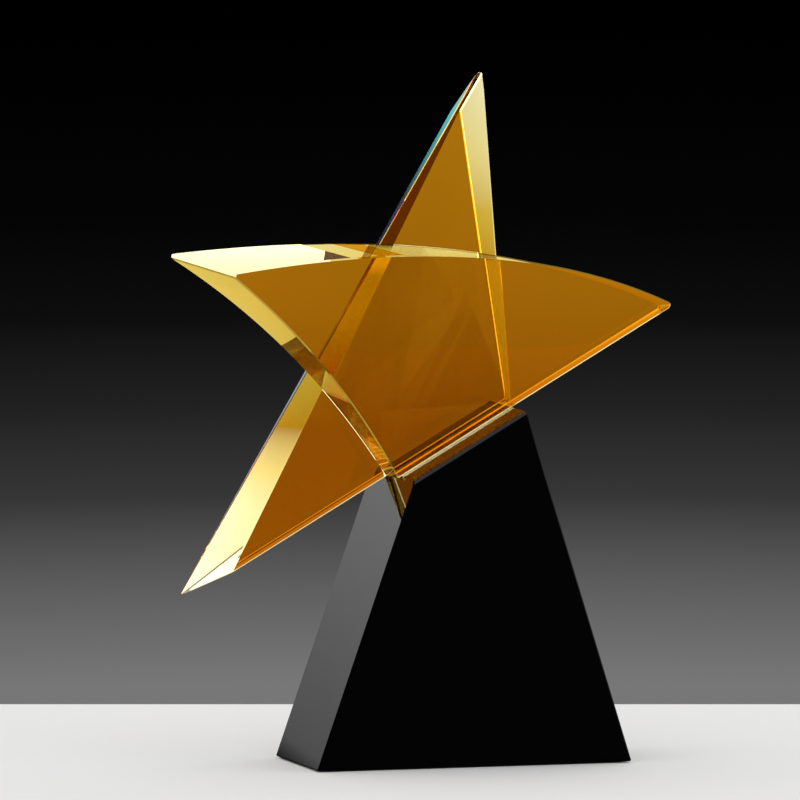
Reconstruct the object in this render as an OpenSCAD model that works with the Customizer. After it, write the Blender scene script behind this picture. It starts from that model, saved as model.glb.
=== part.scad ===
// Star trophy: two bevelled crystal plates, bonded face to face, on a black crystal block.
// Millimetres. X runs to the right, Y to the back and Z up, from the middle of the underside.

/* [Base block] */
// Width of the block along its lower edge
base_w = 110; // [90:1:130]
// Thickness of the block from front to back
base_d = 50; // [44:1:70]
// Height of the sloping top above the table, on the middle line
top_h = 109.3; // [105:0.1:113]
// Tilt of the sloping top, which rises to the right
top_tilt = 30; // [26:1:32]
// How far the sloping top reaches to the left of the middle
top_left = 21; // [18:0.5:30]
// How far the sloping top reaches to the right of the middle
top_right = 17.9; // [15:0.1:30]
// Width of the chamfer along the front edge of the sloping top
top_chamfer = 1.5; // [0.5:0.1:3]

/* [Base pad] */
// Thickness of the felt sheet under the block
pad_t = 0.5; // [0.3:0.1:2]
// How far the felt stays inside the block's edges
pad_inset = 2; // [1:0.5:6]
// Corner radius of the felt
pad_corner_r = 3; // [1:0.5:8]

/* [Star] */
// Thickness of each of the two plates
plate_t = 12; // [8:0.5:14]
// Distance of the star's front face in front of the block's middle
star_front = 10; // [8:0.5:16]
// Width of the blunt flat on the left and right tips
tip_flat = 1.6; // [0.8:0.1:2.5]
// Thickness of each film of clear adhesive
bond_t = 0.15; // [0.1:0.05:0.3]
// How far each film stays inside the faces that it joins
bond_inset = 0.3; // [0.1:0.1:1]

/* [Front plate] */
// Left tip, at the front: distance to the left of the middle
left_tip_x = 79.1; // [70:0.1:84]
// Left tip, at the front: height above the table
left_tip_h = 166.1; // [160:0.1:172]
// How much further left the left tip reaches at the back
left_tip_reach = 19.1; // [0:0.1:24]
// How much higher the left tip stands at the back
left_tip_rise = 6.2; // [0:0.1:10]
// Right tip, at the front: distance to the right of the middle
right_tip_x = 73.2; // [66:0.1:80]
// How much less far the right tip reaches at the back
right_tip_setback = 1.9; // [0:0.1:4]
// Lower corner, at the front: distance to the left of the middle
front_foot_x = 22.4; // [20:0.1:30]
// How much further left the lower corner reaches at the back
front_foot_reach = 0.6; // [0:0.1:4]
// Rise of the top arch above the straight line between its ends
top_arch_rise = 11.0; // [6:0.1:16]
// How far the arch's crown leans to the right, as a share of its length
top_arch_lean = 0.11; // [-0.2:0.01:0.2]
// Hollow of the left side at the front
left_hollow = 4.3; // [2:0.1:8]
// Hollow of the left side at the back
left_hollow_back = 5.8; // [2:0.1:8]

/* [Rear plate] */
// Top tip, at the front: distance to the right of the middle
top_tip_x = 9.9; // [6:0.1:14]
// Top tip, at the front: height above the table
top_tip_h = 231.5; // [222:0.1:240]
// How much further left the top tip stands at the back
top_tip_shift = 5.5; // [0:0.1:8]
// How much lower the top tip stands at the back
top_tip_drop = 13.5; // [0:0.1:16]
// Width of the blunt flat on the top tip
top_tip_flat = 1.9; // [0.8:0.1:2.5]
// Lower left tip, at the front: distance to the left of the middle
low_tip_x = 76.8; // [70:0.1:82]
// How much further left the lower left tip reaches at the back
low_tip_reach = 14.6; // [0:0.1:18]
// Height of the small flat on the lower left tip
low_tip_flat = 0.7; // [0.4:0.1:2]
// Lower right corner, at the front: distance to the right of the middle
rear_foot_x = 19.4; // [18:0.1:26]
// How much further right the lower right corner reaches at the back
rear_foot_reach = 0.6; // [0:0.1:4]

/* [Hidden] */

bow_steps = 24;
left_tip_lean = 75.5;
front_face_y = -star_front;
bond_y = front_face_y + plate_t;
rear_face_y = bond_y + bond_t;

// Height at x of a plane parallel to the sloping top and lift above it
function slope_h(x, lift = 0) = top_h + x * tan(top_tilt) + lift / cos(top_tilt);

// Height at x of the plane on which both plates stand
function foot_h(x) = slope_h(x, bond_t);

// The two ends of a flat of width w at a, leaning at angle degrees from level
function flat_ends(a, w, angle) = [for (s = [-w / 2, w / 2]) a + s * [cos(angle), sin(angle)]];

// Points along the bow from a to b, which stands rise off its chord on the left of the way from
// a to b, and whose crown leans towards b by a share of the chord
function bow(a, b, rise, lean = 0) =
    let (chord = b - a,
         crown = (a + b) / 2 + lean * chord + 2 * rise * [-chord.y, chord.x] / norm(chord))
    [for (i = [0 : bow_steps])
        let (t = i / bow_steps)
        (1 - t) ^ 2 * a + 2 * t * (1 - t) * crown + t ^ 2 * b];

// Outline of the front plate in [x, z], clockwise from the lower end of its right tip
function front_plate_outline(left, right_x, foot_x, hollow) =
    let (left_ends = flat_ends(left, tip_flat, left_tip_lean),
         right_low = [right_x, foot_h(right_x)],
         foot = [-foot_x, foot_h(-foot_x)])
    concat([right_low],
           bow(foot, left_ends[0], -hollow),
           bow(left_ends[1], right_low + [0, tip_flat], top_arch_rise, top_arch_lean));

// Outline of the rear plate in [x, z], clockwise from its lower left tip
function rear_plate_outline(top, low_x, foot_x) =
    let (low = [-low_x, foot_h(-low_x)])
    concat([low, low + [0, low_tip_flat]],
           flat_ends(top, top_tip_flat, 0),
           [[foot_x, foot_h(foot_x)]]);

front_plate_front = front_plate_outline([-left_tip_x, left_tip_h], right_tip_x,
                                        front_foot_x, left_hollow);
front_plate_back = front_plate_outline([-left_tip_x - left_tip_reach, left_tip_h + left_tip_rise],
                                       right_tip_x - right_tip_setback,
                                       front_foot_x + front_foot_reach, left_hollow_back);
rear_plate_front = rear_plate_outline([top_tip_x, top_tip_h], low_tip_x, rear_foot_x);
rear_plate_back = rear_plate_outline([top_tip_x - top_tip_shift, top_tip_h - top_tip_drop],
                                     low_tip_x + low_tip_reach, rear_foot_x + rear_foot_reach);

// The two triangles of the side wall from outline point i to j, split so that the crease stands out
function side_wall(points, n, i, j) =
    let (side = cross(points[i] - points[j], points[n + i] - points[j]))
    side * (points[n + j] - points[j]) > 0
        ? [[j, i, n + i], [j, n + i, n + j]]
        : [[j, i, n + j], [i, n + i, n + j]];

// A plate whose front face starts at y, with a front and a back outline of equally many points
module bevelled_plate(front, back, y) {
    n = len(front);
    points = concat([for (p = front) [p.x, y, p.y]], [for (p = back) [p.x, y + plate_t, p.y]]);
    walls = [for (i = [0 : n - 1]) each side_wall(points, n, i, (i + 1) % n)];
    polyhedron(points, concat([[for (i = [0 : n - 1]) i], [for (i = [n - 1 : -1 : 0]) n + i]], walls));
}

// Draws an [x, z] outline as a slab from y to y + t
module upright_slab(y, t) {
    translate([0, y + t, 0]) rotate([90, 0, 0]) linear_extrude(t) children();
}

// Film of adhesive on the sloping top, under a plate that starts at y
module foot_film(y) {
    film_left = -top_left / cos(top_tilt) + bond_inset;
    film_right = top_right / cos(top_tilt) - bond_inset;
    translate([0, y + bond_inset, top_h]) rotate([0, -top_tilt, 0]) translate([film_left, 0, 0])
        cube([film_right - film_left, plate_t - 2 * bond_inset, bond_t]);
}

// Felt sheet with round corners, stuck to the underside of the block
module base_pad() {
    pad_w = base_w - 2 * pad_inset;
    pad_d = base_d - 2 * pad_inset;
    color("dimgray") linear_extrude(pad_t) {
        square([pad_w - 2 * pad_corner_r, pad_d], center = true);
        square([pad_w, pad_d - 2 * pad_corner_r], center = true);
        for (x = [-1, 1], y = [-1, 1])
            translate([x * (pad_w / 2 - pad_corner_r), y * (pad_d / 2 - pad_corner_r)])
                circle(pad_corner_r, $fn = 48);
    }
}

// Solid black crystal, cut as a leaning four-sided block with a sloping top
module base_block() {
    chamfer_side = top_chamfer * sqrt(2);
    color("black") difference() {
        upright_slab(-base_d / 2, base_d) polygon([
            [-base_w / 2, pad_t], [base_w / 2, pad_t],
            [top_right, slope_h(top_right)], [-top_left, slope_h(-top_left)]]);
        translate([0, -base_d / 2, top_h]) rotate([0, -top_tilt, 0]) rotate([45, 0, 0])
            cube([base_w, chamfer_side, chamfer_side], center = true);
    }
}

// Film between the sloping top and the front plate
module front_foot_bond() { color("white", 0.5) foot_film(front_face_y); }

// Film between the sloping top and the rear plate
module rear_foot_bond() { color("white", 0.5) foot_film(rear_face_y); }

// Amber crystal plate that forms the left and right arms, with an arched top
module front_plate() {
    color("darkgoldenrod") bevelled_plate(front_plate_front, front_plate_back, front_face_y);
}

// Film over the five-sided field where the two plates lie against each other
module plate_bond() {
    color("white", 0.5) upright_slab(bond_y, bond_t) intersection() {
        polygon(front_plate_back);
        polygon(rear_plate_front);
    }
}

// Amber crystal plate that forms the top arm and the lower left arm
module rear_plate() {
    color("goldenrod") bevelled_plate(rear_plate_front, rear_plate_back, rear_face_y);
}

base_pad();
base_block();
front_foot_bond();
rear_foot_bond();
front_plate();
plate_bond();
rear_plate();
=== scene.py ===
# Star trophy: two bevelled plates of amber crystal, bonded face to face and standing on a block of
# black crystal with a sloping top. Metres. X runs to the right, Y to the back and Z up.
from math import cos, radians, sin, tan

import bmesh
import bpy
from mathutils import Matrix, Vector
from mathutils.geometry import intersect_line_line_2d


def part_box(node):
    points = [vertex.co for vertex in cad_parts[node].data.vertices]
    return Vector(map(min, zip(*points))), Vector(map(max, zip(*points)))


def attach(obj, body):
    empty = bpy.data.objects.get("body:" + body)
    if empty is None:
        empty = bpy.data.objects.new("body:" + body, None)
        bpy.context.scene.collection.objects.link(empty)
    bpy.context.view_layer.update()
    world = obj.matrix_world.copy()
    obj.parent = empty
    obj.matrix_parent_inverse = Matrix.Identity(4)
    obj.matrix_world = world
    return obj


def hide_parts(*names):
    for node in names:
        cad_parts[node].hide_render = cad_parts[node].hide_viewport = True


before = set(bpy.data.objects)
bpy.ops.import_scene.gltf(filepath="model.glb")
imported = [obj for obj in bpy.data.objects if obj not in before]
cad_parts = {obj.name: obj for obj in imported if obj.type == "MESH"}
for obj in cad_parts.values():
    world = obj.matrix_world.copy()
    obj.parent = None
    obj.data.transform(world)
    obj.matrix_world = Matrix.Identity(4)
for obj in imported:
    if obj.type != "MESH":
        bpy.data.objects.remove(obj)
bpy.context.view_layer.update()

# ---------------------------------------------------------------------------------------------
# Camera: a long lens a little above the table, turned to the left of the star's front.
# ---------------------------------------------------------------------------------------------
scene = bpy.context.scene
scene.view_settings.view_transform = "Standard"
view_turn = radians(-16.6)
view_rise = radians(5.2)
lens_mm = 1000.0
frame_w = 0.2688
aim = Vector((-0.0141, 0.0156, 0.1205))

camera_data = bpy.data.cameras.new("camera")
camera_data.lens = lens_mm
camera_far = frame_w * lens_mm / camera_data.sensor_width
towards_camera = Vector((sin(view_turn) * cos(view_rise), -cos(view_turn) * cos(view_rise),
                         sin(view_rise)))
camera = bpy.data.objects.new("camera", camera_data)
camera.location = aim + camera_far * towards_camera
camera.rotation_euler = towards_camera.to_track_quat("Z", "Y").to_euler()
scene.collection.objects.link(camera)
scene.camera = camera

# ---------------------------------------------------------------------------------------------
# Felt pad: a thin black sheet with round corners, stuck under the block so that it doesn't
# scratch the table.
# ---------------------------------------------------------------------------------------------
MM = 0.001
pad_low, pad_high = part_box("base_pad")
pad_corner_r = 3 * MM
felt_dark = (0.010, 0.010, 0.011, 1)
felt_light = (0.035, 0.034, 0.036, 1)
fibre_scale = 2600.0


def open_tree(tree):
    """Clears a node tree. Gives its link maker and a function that adds a node with settings."""
    tree.nodes.clear()

    def add(kind, **settings):
        node = tree.nodes.new(kind)
        for key, value in settings.items():
            if key in node.inputs:
                node.inputs[key].default_value = value
            else:
                setattr(node, key, value)
        return node

    return tree.links.new, add


def new_material(name):
    """A material with an empty tree. The helpers below add to the tree opened last."""
    material = bpy.data.materials.new(name)
    material.use_nodes = True
    return material, *open_tree(material.node_tree)


def noise(scale, detail, distortion=0.0):
    """A noise from 0 to 1 that stays fixed to the piece."""
    place = add("ShaderNodeTexCoord")
    texture = add("ShaderNodeTexNoise", **{"Scale": scale, "Detail": detail,
                                           "Distortion": distortion})
    link(place.outputs["Object"], texture.inputs["Vector"])
    return texture.outputs["Fac"]


def rescale(value, from_range=(0.0, 1.0), to_range=(0.0, 1.0)):
    """The value carried from one range to the other and held within it."""
    scaled = add("ShaderNodeMapRange", **{"From Min": from_range[0], "From Max": from_range[1],
                                          "To Min": to_range[0], "To Max": to_range[1]})
    link(value, scaled.inputs["Value"])
    return scaled.outputs["Result"]


def blend(share, first, second):
    """The first colour at share 0, turning to the second at share 1."""
    mix = add("ShaderNodeMix", data_type="RGBA")
    link(share, mix.inputs["Factor"])
    for socket, colour in (("A", first), ("B", second)):
        if isinstance(colour, tuple):
            mix.inputs[socket].default_value = colour
        else:
            link(colour, mix.inputs[socket])
    return mix.outputs["Result"]


def add_piece(bm, name, node, material):
    """Makes the bmesh a piece that stands for a CAD node."""
    mesh = bpy.data.meshes.new(name)
    bm.to_mesh(mesh)
    bm.free()
    mesh.materials.append(material)
    piece = bpy.data.objects.new(name, mesh)
    scene.collection.objects.link(piece)
    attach(piece, "root")
    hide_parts(node)


def raise_slab(corners, rise):
    """A bmesh slab: a flat face through the corners, extruded along rise."""
    bm = bmesh.new()
    floor_face = bm.faces.new([bm.verts.new(corner) for corner in corners])
    grown = bmesh.ops.extrude_face_region(bm, geom=[floor_face])["geom"]
    bmesh.ops.translate(bm, verts=[g for g in grown if isinstance(g, bmesh.types.BMVert)], vec=rise)
    bmesh.ops.recalc_face_normals(bm, faces=bm.faces)
    return bm


def chamfer(bm, edges, width, segments=1):
    bmesh.ops.bevel(bm, geom=edges, offset=width, offset_type="OFFSET", segments=segments,
                    profile=0.5, affect="EDGES", material=-1, clamp_overlap=True)


felt, link, add = new_material("black_felt")
output = add("ShaderNodeOutputMaterial")
shader = add("ShaderNodeBsdfPrincipled", **{"Roughness": 0.95, "Sheen Weight": 0.35})
fibres = noise(fibre_scale, 4.0)
nap = add("ShaderNodeBump", **{"Strength": 0.6, "Distance": 0.1 * MM})
link(blend(fibres, felt_dark, felt_light), shader.inputs["Base Color"])
link(fibres, nap.inputs["Height"])
link(nap.outputs["Normal"], shader.inputs["Normal"])
link(shader.outputs["BSDF"], output.inputs["Surface"])

bm = raise_slab([(pad_low[0], pad_low[1], pad_low[2]), (pad_high[0], pad_low[1], pad_low[2]),
                 (pad_high[0], pad_high[1], pad_low[2]), (pad_low[0], pad_high[1], pad_low[2])],
                (0, 0, pad_high[2] - pad_low[2]))
upright = [e for e in bm.edges if e.verts[0].co.xy == e.verts[1].co.xy]
chamfer(bm, upright, pad_corner_r, segments=8)
add_piece(bm, "felt_pad", "base_pad", felt)

# ---------------------------------------------------------------------------------------------
# Block: solid black crystal, cut square through its thickness and polished on every face. Its
# sides lean together, and its top slopes up to the right.
# ---------------------------------------------------------------------------------------------
block_low, block_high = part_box("base_block")
block_d = block_high[1] - block_low[1]
top_h = 109.3 * MM
top_tilt = radians(30)
top_left = -21.0 * MM
top_right = 17.9 * MM
top_chamfer = 1.5 * MM
block_arris = 0.45 * MM
glass_ior = 1.52
black_low = (0.0010, 0.0010, 0.0012, 1)
black_high = (0.0022, 0.0021, 0.0024, 1)
block_polish = (0.012, 0.035)


def slope_h(x, lift=0.0):
    """Height at x of a plane parallel to the sloping top and lift above it."""
    return top_h + x * tan(top_tilt) + lift / cos(top_tilt)


def edges_sharper_than(bm, degrees):
    return [e for e in bm.edges if e.is_manifold and e.calc_face_angle() > radians(degrees)]


black_crystal, link, add = new_material("black_crystal")
output = add("ShaderNodeOutputMaterial")
shader = add("ShaderNodeBsdfPrincipled", **{"IOR": glass_ior})
link(blend(noise(14.0, 3.0), black_low, black_high), shader.inputs["Base Color"])
link(rescale(noise(60.0, 5.0), to_range=block_polish), shader.inputs["Roughness"])
link(shader.outputs["BSDF"], output.inputs["Surface"])

front_y = block_low[1]
bm = raise_slab([(block_low[0], front_y, block_low[2]), (block_high[0], front_y, block_low[2]),
                 (top_right, front_y, slope_h(top_right)), (top_left, front_y, slope_h(top_left))],
                (0, block_d, 0))
front_top = [e for e in bm.edges
             if all(v.co.y < 0 and v.co.z > top_h / 2 for v in e.verts)]
chamfer(bm, front_top, top_chamfer)
chamfer(bm, edges_sharper_than(bm, 20), block_arris)
add_piece(bm, "crystal_block", "base_block", black_crystal)

# ---------------------------------------------------------------------------------------------
# Amber crystal: the glass of both plates, one material for a whole plate. Each face has a tint mark
# that picks its tint, and most of these colours are painted light and shade: pale and gold painted
# highlights on the ground sides, painted shade on the crown, painted light and shade along the blade
# and the band by height, and front faces darkened towards the foot as painted shade. Light crosses a
# face marked straight unbent, as it does where there is no air behind the glass.
# ---------------------------------------------------------------------------------------------
# Painted highlights: pale cream and gold colours on ground sides so that they look brightly lit.
pale_painted_highlight = (0.96, 0.90, 0.60, 1)
gold_painted_highlight = (0.92, 0.56, 0.032, 1)
# Painted shade: dark brown and dark amber colours for the crown.
crest_painted_shade = (0.40, 0.31, 0.06, 1)
crest_amber_painted_shade = (0.26, 0.062, 0.0001, 1)
# Ramps by height in mm. The amber of the front faces deepens towards the foot as painted shade; the
# blade and band ramps are painted light and shade.
amber_and_painted_shade_stops = ((112, (0.37, 0.037, 0.00002)), (155, (0.66, 0.115, 0.0001)),
               (215, (0.86, 0.185, 0.00022)))
band_painted_light_stops = ((168.6, (0.62, 0.90, 0.80)), (169, (0.35, 0.13, 0.001)), (185, (0.52, 0.28, 0.006)),
              (205, (0.82, 0.66, 0.16)), (225, (0.90, 0.84, 0.38)))
blade_painted_light_stops = ((65, (0.84, 0.78, 0.60)), (86, (0.80, 0.70, 0.36)), (98, (0.62, 0.42, 0.09)),
               (113, (0.14, 0.042, 0.0001)), (131, (0.14, 0.075, 0.0012)),
               (150, (0.20, 0.26, 0.03)), (164, (0.20, 0.24, 0.02)),
               (168, (0.60, 0.70, 0.15)), (172, (0.60, 0.70, 0.15)),
               (173.5, (0.0075, 0.0004, 0.0)), (225, (0.0075, 0.0004, 0.0)))
WHITE = (1, 1, 1, 1)
SIDE_PAINTED_PALE, SIDE_PAINTED_GOLD, CREST_PAINTED_SHADE, CREST_AMBER_PAINTED_SHADE, FACE_AMBER_AND_SHADE, BLADE_PAINTED_LIGHT, BAND_PAINTED_LIGHT, CLEAR = range(8)

ramp_top_mm = 250
striae_reach = (0.3, 0.7)
striae_low = 0.94
wipe_reach = (0.35, 0.75)
most_wiped = 0.012
body_tint = (0.80, 0.617, 0.04, 1)
body_density = 30.0
light_bounces = 32

scene.cycles.max_bounces = light_bounces
scene.cycles.glossy_bounces = light_bounces
scene.cycles.transmission_bounces = light_bounces

amber, link, add = new_material("amber_crystal")


def ramp_by(value, stops):
    """A colour ramp over stops of [place from 0 to 1, colour], the first and last at its ends."""
    ramp = add("ShaderNodeValToRGB")
    ramp.color_ramp.elements[0].position = stops[0][0]
    ramp.color_ramp.elements[0].color = (*stops[0][1], 1)
    ramp.color_ramp.elements[1].position = stops[-1][0]
    ramp.color_ramp.elements[1].color = (*stops[-1][1], 1)
    for place, colour in stops[1:-1]:
        ramp.color_ramp.elements.new(place).color = (*colour, 1)
    link(value, ramp.inputs["Fac"])
    return ramp.outputs["Color"]


def choose(attribute, threshold, below, above):
    """Colour below, but colour above on the faces whose attribute is over the threshold."""
    over = add("ShaderNodeMath", operation="GREATER_THAN")
    over.inputs[1].default_value = threshold
    link(attribute, over.inputs[0])
    return blend(over.outputs[0], below, above)


def place_along(axis):
    """The distance along an axis from the object's own origin, in metres."""
    split = add("ShaderNodeSeparateXYZ")
    link(add("ShaderNodeTexCoord").outputs["Object"], split.inputs["Vector"])
    return split.outputs[axis]


def face_value(name):
    return add("ShaderNodeAttribute", attribute_name=name).outputs["Fac"]


output = add("ShaderNodeOutputMaterial")
shader = add("ShaderNodeBsdfPrincipled", **{"Transmission Weight": 1.0})
tint_and_painted_light = face_value("tint_and_painted_light")
height = rescale(place_along("Z"), from_range=(0, ramp_top_mm * MM))
tints_with_painted_light = [pale_painted_highlight, gold_painted_highlight, crest_painted_shade, crest_amber_painted_shade]
for stops in (amber_and_painted_shade_stops, blade_painted_light_stops, band_painted_light_stops):
    tints_with_painted_light.append(ramp_by(height, [(z / ramp_top_mm, tint) for z, tint in stops]))
tints_with_painted_light.append(WHITE)
# Faces left unmarked keep the pale painted highlight.
colour = tints_with_painted_light[SIDE_PAINTED_PALE]
for number, tint in enumerate(tints_with_painted_light[SIDE_PAINTED_GOLD:]):
    colour = choose(tint_and_painted_light, number + 0.5, colour, tint)
streaked = add("ShaderNodeVectorMath", operation="SCALE")
body = add("ShaderNodeVolumeAbsorption", **{"Density": body_density, "Color": body_tint})
link(colour, streaked.inputs[0])
link(rescale(noise(22.0, 2.0, 0.6), striae_reach, (striae_low, 1.0)), streaked.inputs["Scale"])
link(rescale(noise(90.0, 4.0), wipe_reach, (0.0, most_wiped)), shader.inputs["Roughness"])
link(streaked.outputs["Vector"], shader.inputs["Base Color"])
link(rescale(face_value("straight"), to_range=(glass_ior, 1.0)), shader.inputs["IOR"])
link(shader.outputs["BSDF"], output.inputs["Surface"])
link(body.outputs["Volume"], output.inputs["Volume"])

# ---------------------------------------------------------------------------------------------
# Front plate: amber crystal that forms the left and right arms, with an arched top. Its sides
# are ground at a slant, widest at the left tip, and every edge has a fine polished arris.
# ---------------------------------------------------------------------------------------------
plate_t = 12 * MM
bond_t = 0.15 * MM
star_front_y = -10 * MM
bond_y = star_front_y + plate_t
plate_arris = 0.4 * MM
bow_steps = 72
tip_flat = 1.6 * MM
left_tip_lean = radians(75.5)
crown_rise = 11.0 * MM
crown_lean = 0.11
ground_corner = 25
smooth_below = 3
front_facing = -0.98
slanted = 0.2
painted_shade_crest_starts = ((CREST_PAINTED_SHADE, -45 * MM), (CREST_AMBER_PAINTED_SHADE, -36.9 * MM), (CREST_PAINTED_SHADE, -26 * MM))


def shade_smooth_but(bm, sharp_degrees):
    """Smooth shading, with every edge sharper than the angle kept crisp."""
    for face in bm.faces:
        face.smooth = True
    for edge in edges_sharper_than(bm, sharp_degrees):
        edge.smooth = False


def foot_point(x_mm):
    """Where an upright line at x meets the plane on which both plates stand."""
    return Vector((x_mm * MM, slope_h(x_mm * MM, bond_t)))


def flat_ends(middle, width, angle):
    """The two ends of a flat of that width, leaning at the angle from level."""
    half = width / 2 * Vector((cos(angle), sin(angle)))
    return [middle - half, middle + half]


def bow(start, end, rise, lean=0.0):
    """Points along a bow that rises off its chord, with its crown leaning towards the end."""
    chord = end - start
    across = Vector((-chord.y, chord.x)).normalized()
    crown = (start + end) / 2 + lean * chord + 2 * rise * across
    steps = [i / bow_steps for i in range(bow_steps + 1)]
    return [(1 - t) ** 2 * start + 2 * t * (1 - t) * crown + t * t * end for t in steps]


def grind_plate(front, back, y, creases=()):
    """A plate between a front and a back outline of equally many [x, z] points. Each crease
    joins a point of the front outline to one of the back outline, across a slanted side."""
    bm = bmesh.new()
    front_verts = [bm.verts.new((p.x, y, p.y)) for p in front]
    front_face = bm.faces.new(front_verts)
    grown = bmesh.ops.extrude_face_region(bm, geom=[front_face])["geom"]
    copies = {tuple(g.co): g for g in grown if isinstance(g, bmesh.types.BMVert)}
    back_verts = [copies[tuple(v.co)] for v in front_verts]
    for vert, p in zip(back_verts, back):
        vert.co = (p.x, y + plate_t, p.y)
    for front_end, back_end in creases:
        bmesh.ops.connect_verts(bm, verts=[front_verts[front_end], back_verts[back_end]])
    bmesh.ops.recalc_face_normals(bm, faces=bm.faces)
    chamfer(bm, edges_sharper_than(bm, ground_corner), plate_arris)
    shade_smooth_but(bm, smooth_below)
    for name in ("straight", "tint_and_painted_light"):
        bm.faces.layers.float.new(name)
    # Front faces take the amber tint, darkened towards the foot as painted shade.
    mark(bm, "tint_and_painted_light", FACE_AMBER_AND_SHADE, lambda face: face.normal.y < front_facing)
    return bm


def mark(bm, name, value, wanted):
    """Writes the value into the named face attribute of every wanted face."""
    layer = bm.faces.layers.float[name]
    for face in bm.faces:
        if wanted(face):
            face[layer] = value


def face_at(bm, side, point):
    """The face that looks along the side direction and holds the point."""
    return next(f for f in bm.faces if f.normal.dot(side) > 0.99
                and bmesh.geometry.intersect_face_point(f, point))


def score(bm, side, point, line_start, line_end):
    """Cuts the face that holds the point along an upright plane through a line in x and z."""
    face = face_at(bm, side, point)
    along = line_end - line_start
    bmesh.ops.bisect_plane(bm, geom=[face, *face.edges, *face.verts], dist=1e-7,
                           plane_co=(line_start.x, 0, line_start.y), plane_no=(along.y, 0, -along.x))


def mark_bonded(bm, places):
    """Clears the faces that hold these places, each a side direction and a point on the bond."""
    faces = [face_at(bm, side, point) for side, point in places]
    mark(bm, "straight", 1.0, lambda f: f in faces)
    mark(bm, "tint_and_painted_light", CLEAR, lambda f: f in faces)


def front_plate_outline(left_tip, right_x, foot_x, hollow):
    left_low, left_high = flat_ends(left_tip * MM, tip_flat, left_tip_lean)
    right_low = foot_point(right_x)
    right_high = right_low + Vector((0, tip_flat))
    top = bow(left_high, right_high, crown_rise, crown_lean)
    return [right_low] + bow(foot_point(foot_x), left_low, -hollow * MM) + top


def rear_plate_outline(top_tip, low_x, foot_x):
    low = foot_point(low_x)
    return ([low, low + Vector((0, low_tip_flat))] + flat_ends(top_tip * MM, top_tip_flat, 0)
            + [foot_point(foot_x)])


top_tip_flat = 1.9 * MM
low_tip_flat = 0.7 * MM
front_plate_front = front_plate_outline(Vector((-79.1, 166.1)), 73.2, -22.4, 4.3)
front_plate_back = front_plate_outline(Vector((-98.2, 172.3)), 71.3, -23.0, 5.8)
rear_plate_front = rear_plate_outline(Vector((9.9, 231.5)), -76.8, 19.4)
rear_plate_back = rear_plate_outline(Vector((4.4, 218.0)), -91.4, 20.0)

to_back = Vector((0, 1, 0))
downhill = Vector((sin(top_tilt), 0, -cos(top_tilt)))
star_middle = Vector((-10 * MM, bond_y, 140 * MM))
foot_middle = Vector((0, bond_y - plate_t / 2, foot_point(0).y))

bm = grind_plate(front_plate_front, front_plate_back, star_front_y)
score(bm, to_back, star_middle, rear_plate_front[1], rear_plate_front[2])
score(bm, to_back, star_middle, rear_plate_front[3], rear_plate_front[4])
for x in (top_left, top_right):
    score(bm, downhill, foot_middle, Vector((x, 0)), Vector((x, 1)))
mark_bonded(bm, [(to_back, star_middle), (downhill, foot_middle)])
# Painted highlight: the downward ground sides of the left arm take the gold colour.
mark(bm, "tint_and_painted_light", SIDE_PAINTED_GOLD,
     lambda f: f.normal.z < -slanted and f.calc_center_median().x < top_left)

# The crown is marked straight as well, though it isn't bonded. That stands in for light that the two
# plates would otherwise turn down into the black block. Its colours are
# painted shade: dark brown and dark amber along the crown from the given starts.
for tint, start in painted_shade_crest_starts:
    painted_shade_crest = [f for f in bm.faces if f.normal.z > slanted and f.calc_center_median().x > start]
    mark(bm, "tint_and_painted_light", tint, lambda f: f in painted_shade_crest)
    mark(bm, "straight", 1.0, lambda f: f in painted_shade_crest)
add_piece(bm, "front_plate_crystal", "front_plate", amber)

# ---------------------------------------------------------------------------------------------
# Rear plate: amber crystal that forms the top arm and the lower left arm. Its left side is
# ground in two planes that meet in a crease from the top tip to the lower left tip.
# ---------------------------------------------------------------------------------------------
side_shift = Vector((2.3, -0.7)) * MM
low_bow_drop = Vector((0, 5 * MM))
upright_side = 0.7
left_arris = (-0.45, -0.05)


def imprint(bm, face, path):
    """Cuts a face in the xz plane along a path of [x, z] points that runs right across it."""
    crossings = []
    for i, (start, end) in enumerate(zip(path, path[1:])):
        for edge in face.edges:
            a, b = (v.co.xz for v in edge.verts)
            hit = intersect_line_line_2d(start, end, a, b)
            if hit:
                crossings.append((i, edge, (hit - a).length / (b - a).length))
    (first, edge_in, share_in), (last, edge_out, share_out) = crossings[0], crossings[-1]
    _, vert_in = bmesh.utils.edge_split(edge_in, edge_in.verts[0], share_in)
    _, vert_out = bmesh.utils.edge_split(edge_out, edge_out.verts[0], share_out)
    y = vert_in.co.y
    between = [(p.x, y, p.y) for p in path[first + 1:last + 1]]
    bmesh.utils.face_split(face, vert_in, vert_out, coords=between)


bm = grind_plate(rear_plate_front, rear_plate_back, bond_y + bond_t, creases=[(2, 1), (3, 4)])
to_front = Vector((0, -1, 0))
top_arm = Vector((0, bond_y + bond_t, 190 * MM))
score(bm, to_front, top_arm, rear_plate_back[3] - side_shift, rear_plate_back[4] - side_shift)
star_middle.y = bond_y + bond_t
foot_middle.y = star_middle.y + plate_t / 2
low_bow = front_plate_back[1:bow_steps + 2]
low_bow[0] = low_bow[0] - low_bow_drop
imprint(bm, face_at(bm, to_front, star_middle), low_bow)
imprint(bm, face_at(bm, to_front, star_middle), front_plate_back[bow_steps + 2:])
for x in (top_left, top_right):
    score(bm, downhill, foot_middle, Vector((x, 0)), Vector((x, 1)))
mark_bonded(bm, [(to_front, star_middle), (downhill, foot_middle)])
# Painted light and shade: the slanted left sides of the rear plate take the blade ramp by height,
# pale at the foot, dark in the middle and near black high up.
mark(bm, "tint_and_painted_light", BLADE_PAINTED_LIGHT, lambda f: f.normal.x < -slanted and f.normal.y > front_facing)
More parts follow.
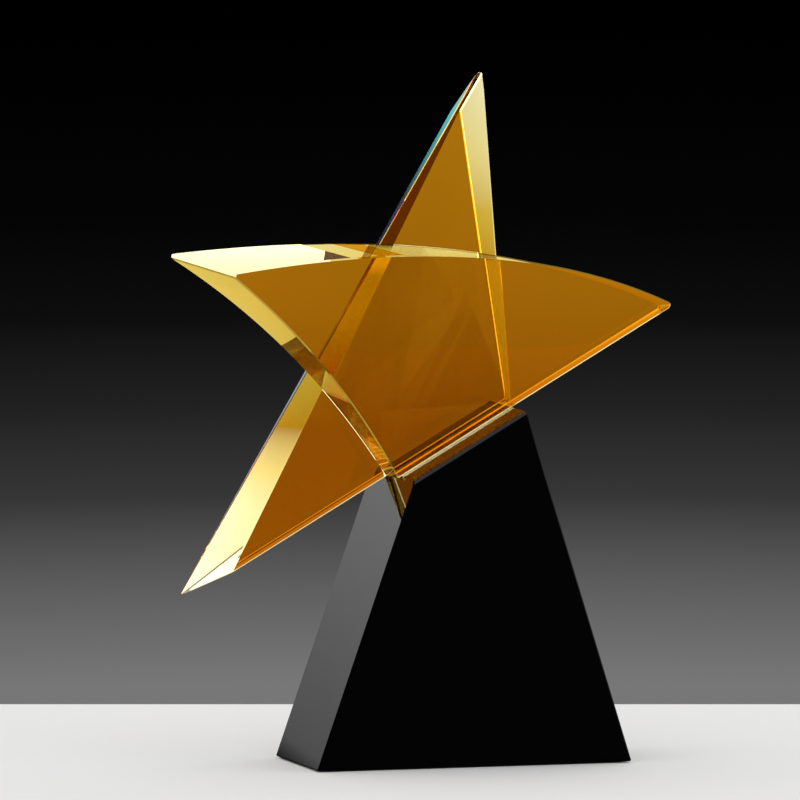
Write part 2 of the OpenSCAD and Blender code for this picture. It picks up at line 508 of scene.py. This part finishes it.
# Painted highlight: the faces along the left arris take the gold colour.
mark(bm, "tint_and_painted_light", SIDE_PAINTED_GOLD,
     lambda f: f.normal.x < -slanted and left_arris[0] < f.normal.y < left_arris[1])

# The top arm's right side is marked straight too, so that the backdrop's light comes through it.
mark(bm, "straight", 1.0, lambda f: f.normal.x > upright_side)
# Painted light and shade: one front face of the top arm takes the band ramp by height, brown low
# down turning to pale cream at the top.
painted_light_band = face_at(bm, to_front, Vector((10 * MM, bond_y + bond_t, 200 * MM)))
mark(bm, "tint_and_painted_light", BAND_PAINTED_LIGHT, lambda f: f == painted_light_band)
add_piece(bm, "rear_plate_crystal", "rear_plate", amber)

# ---------------------------------------------------------------------------------------------
# Adhesive films: clear, cured under a lamp, between the two plates and under each foot. They keep
# the shapes they have in the solid model.
# ---------------------------------------------------------------------------------------------
film_low = (0.97, 0.97, 0.96, 1)

clear, link, add = new_material("clear_adhesive")
output = add("ShaderNodeOutputMaterial")
shader = add("ShaderNodeBsdfTransparent")
link(blend(noise(40.0, 2.0), film_low, WHITE), shader.inputs["Color"])
link(shader.outputs["BSDF"], output.inputs["Surface"])
for node in ("front_foot_bond", "rear_foot_bond", "plate_bond"):
    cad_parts[node].data.materials.clear()
    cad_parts[node].data.materials.append(clear)

# ---------------------------------------------------------------------------------------------
# Stage: a plain pale floor with a straight back edge, a dark backdrop that lightens towards the
# floor, and soft studio light. Floor and surroundings are brighter for light that has passed
# through the crystal, and the backdrop is there for the camera and for reflections only.
# ---------------------------------------------------------------------------------------------
floor_w = 2.8
floor_front = 1.3
floor_back = 0.18
backdrop_r = 0.6
backdrop_h = 0.9
floor_grey = (0.82, 0.82, 0.82, 1)
floor_glow = (1.0, 0.97, 0.88, 1)
glow_depth = 0.08
glow_strength = (1.6, 2.2)
BLACK = (0, 0, 0, 1)
backdrop_low = -0.036
backdrop_dark_at = 0.20
backdrop_greys = ((0, 0.185), (0.15, 0.11), (0.29, 0.037), (0.43, 0.015), (0.57, 0.0040),
                  (0.71, 0.0015), (1, 0.0))
softbox_h = 0.3
softbox_grows = 0.3
softbox_stops = ((0, (0, 0, 0)), (0.17, (0, 0, 0)), (0.2, (0.36, 0.36, 0.36)),
                 (0.4, (0.56, 0.56, 0.56)), (0.55, (0.72, 0.72, 0.72)), (0.62, (0.0, 0.02, 0.05)),
                 (0.70, (0.0, 0.08, 0.15)), (0.76, (0.0, 0.50, 0.60)), (0.80, (0.10, 0.95, 1.0)),
                 (0.84, (1.0, 1.0, 0.90)), (0.90, (0.72, 0.72, 0.72)), (1, (0.72, 0.72, 0.72)))
crystal_light = ((-1, (1.6, 1.6, 1.5)), (-0.13, (1.6, 1.6, 1.5)), (-0.1, (0.5, 0.5, 0.5)),
                 (0.34, (0.5, 0.5, 0.5)), (0.5, (1.2, 1.2, 1.2)), (1, (1.2, 1.2, 1.2)))
overhead_light = ((-1, (0, 0, 0)), (0.6, (0, 0, 0)), (0.9, (0.7, 0.7, 0.7)), (1, (0.7, 0.7, 0.7)))
right_edge = (0.22, 0.28)
light_by_side = (2, 1)
seen_grey = (0.02, 0.02, 0.02, 1)


def add_stage(bm, name, material, turn):
    mesh = bpy.data.meshes.new(name)
    bm.transform(turn)
    bm.to_mesh(mesh)
    bm.free()
    mesh.materials.append(material)
    stage = bpy.data.objects.new(name, mesh)
    scene.collection.objects.link(stage)
    return stage


pale, link, add = new_material("pale_floor")
output = add("ShaderNodeOutputMaterial")
shader = add("ShaderNodeBsdfPrincipled", **{"Base Color": floor_grey, "Roughness": 0.6,
                                            "Specular IOR Level": 0.0})
glow = add("ShaderNodeEmission", **{"Color": floor_glow})
choice = add("ShaderNodeMixShader")
link(rescale(face_value("from_back"), (0, glow_depth), glow_strength), glow.inputs["Strength"])
link(add("ShaderNodeLightPath").outputs["Is Transmission Ray"], choice.inputs["Fac"])
link(shader.outputs["BSDF"], choice.inputs[1])
link(glow.outputs["Emission"], choice.inputs[2])
link(choice.outputs["Shader"], output.inputs["Surface"])

to_view = Matrix.Rotation(view_turn, 4, "Z")
bm = bmesh.new()
bmesh.ops.create_grid(bm, x_segments=8, y_segments=8, size=0.5)
bmesh.ops.scale(bm, verts=bm.verts, vec=(floor_w, floor_front + floor_back, 1))
bmesh.ops.translate(bm, verts=bm.verts, vec=(0, (floor_back - floor_front) / 2, 0))
from_back = bm.verts.layers.float.new("from_back")
for vert in bm.verts:
    vert[from_back] = floor_back - vert.co.y
floor = add_stage(bm, "floor", pale, to_view)
floor.visible_glossy = False

dark, link, add = new_material("dark_backdrop")
output = add("ShaderNodeOutputMaterial")
up = place_along("Z")
fade = ramp_by(rescale(up, (backdrop_low, backdrop_dark_at)),
               [(share, (grey, grey, grey)) for share, grey in backdrop_greys])
softbox = ramp_by(rescale(up, (0, softbox_h)), softbox_stops)
behind = rescale(place_along("Y"), (0, softbox_grows))
camera_ray = add("ShaderNodeLightPath").outputs["Is Camera Ray"]
glow = add("ShaderNodeEmission")
clear_side = add("ShaderNodeBsdfTransparent")
choice = add("ShaderNodeMixShader")
link(blend(camera_ray, blend(behind, BLACK, softbox), fade), glow.inputs["Color"])
link(add("ShaderNodeNewGeometry").outputs["Backfacing"], choice.inputs["Fac"])
link(glow.outputs["Emission"], choice.inputs[1])
link(clear_side.outputs["BSDF"], choice.inputs[2])
link(choice.outputs["Shader"], output.inputs["Surface"])

bm = bmesh.new()
bmesh.ops.create_cone(bm, cap_ends=False, segments=128, radius1=backdrop_r, radius2=backdrop_r,
                      depth=backdrop_h)
bmesh.ops.reverse_faces(bm, faces=bm.faces)
for face in bm.faces:
    face.smooth = True
backdrop = add_stage(bm, "backdrop", dark, to_view)
for kind in ("diffuse", "transmission", "shadow"):
    setattr(backdrop, "visible_" + kind, False)

world = bpy.data.worlds.new("studio")
world.use_nodes = True
scene.world = world
link, add = open_tree(world.node_tree)


def direction_ramp(stops):
    """A ramp over the height of a direction, from -1 straight down to 1 straight up."""
    return ramp_by(rescale(ray.outputs["Z"], (-1, 1)),
                   [((height + 1) / 2, colour) for height, colour in stops])


output = add("ShaderNodeOutputWorld")
ray = add("ShaderNodeSeparateXYZ")
kinds = add("ShaderNodeLightPath")
seen = add("ShaderNodeBackground", **{"Color": seen_grey})
mirrored = add("ShaderNodeBackground")
seen_through = add("ShaderNodeBackground")
fill = add("ShaderNodeBackground", **{"Color": WHITE})
link(add("ShaderNodeTexCoord").outputs["Generated"], ray.inputs["Vector"])
link(direction_ramp(overhead_light), mirrored.inputs["Color"])
link(direction_ramp(crystal_light), seen_through.inputs["Color"])
link(rescale(ray.outputs["X"], right_edge, light_by_side), seen_through.inputs["Strength"])
light = fill
for flag, background in (("Is Glossy Ray", mirrored), ("Is Transmission Ray", seen_through),
                         ("Is Camera Ray", seen)):
    choice = add("ShaderNodeMixShader")
    link(kinds.outputs[flag], choice.inputs["Fac"])
    link(light.outputs[0], choice.inputs[1])
    link(background.outputs[0], choice.inputs[2])
    light = choice
link(light.outputs[0], output.inputs["Surface"])
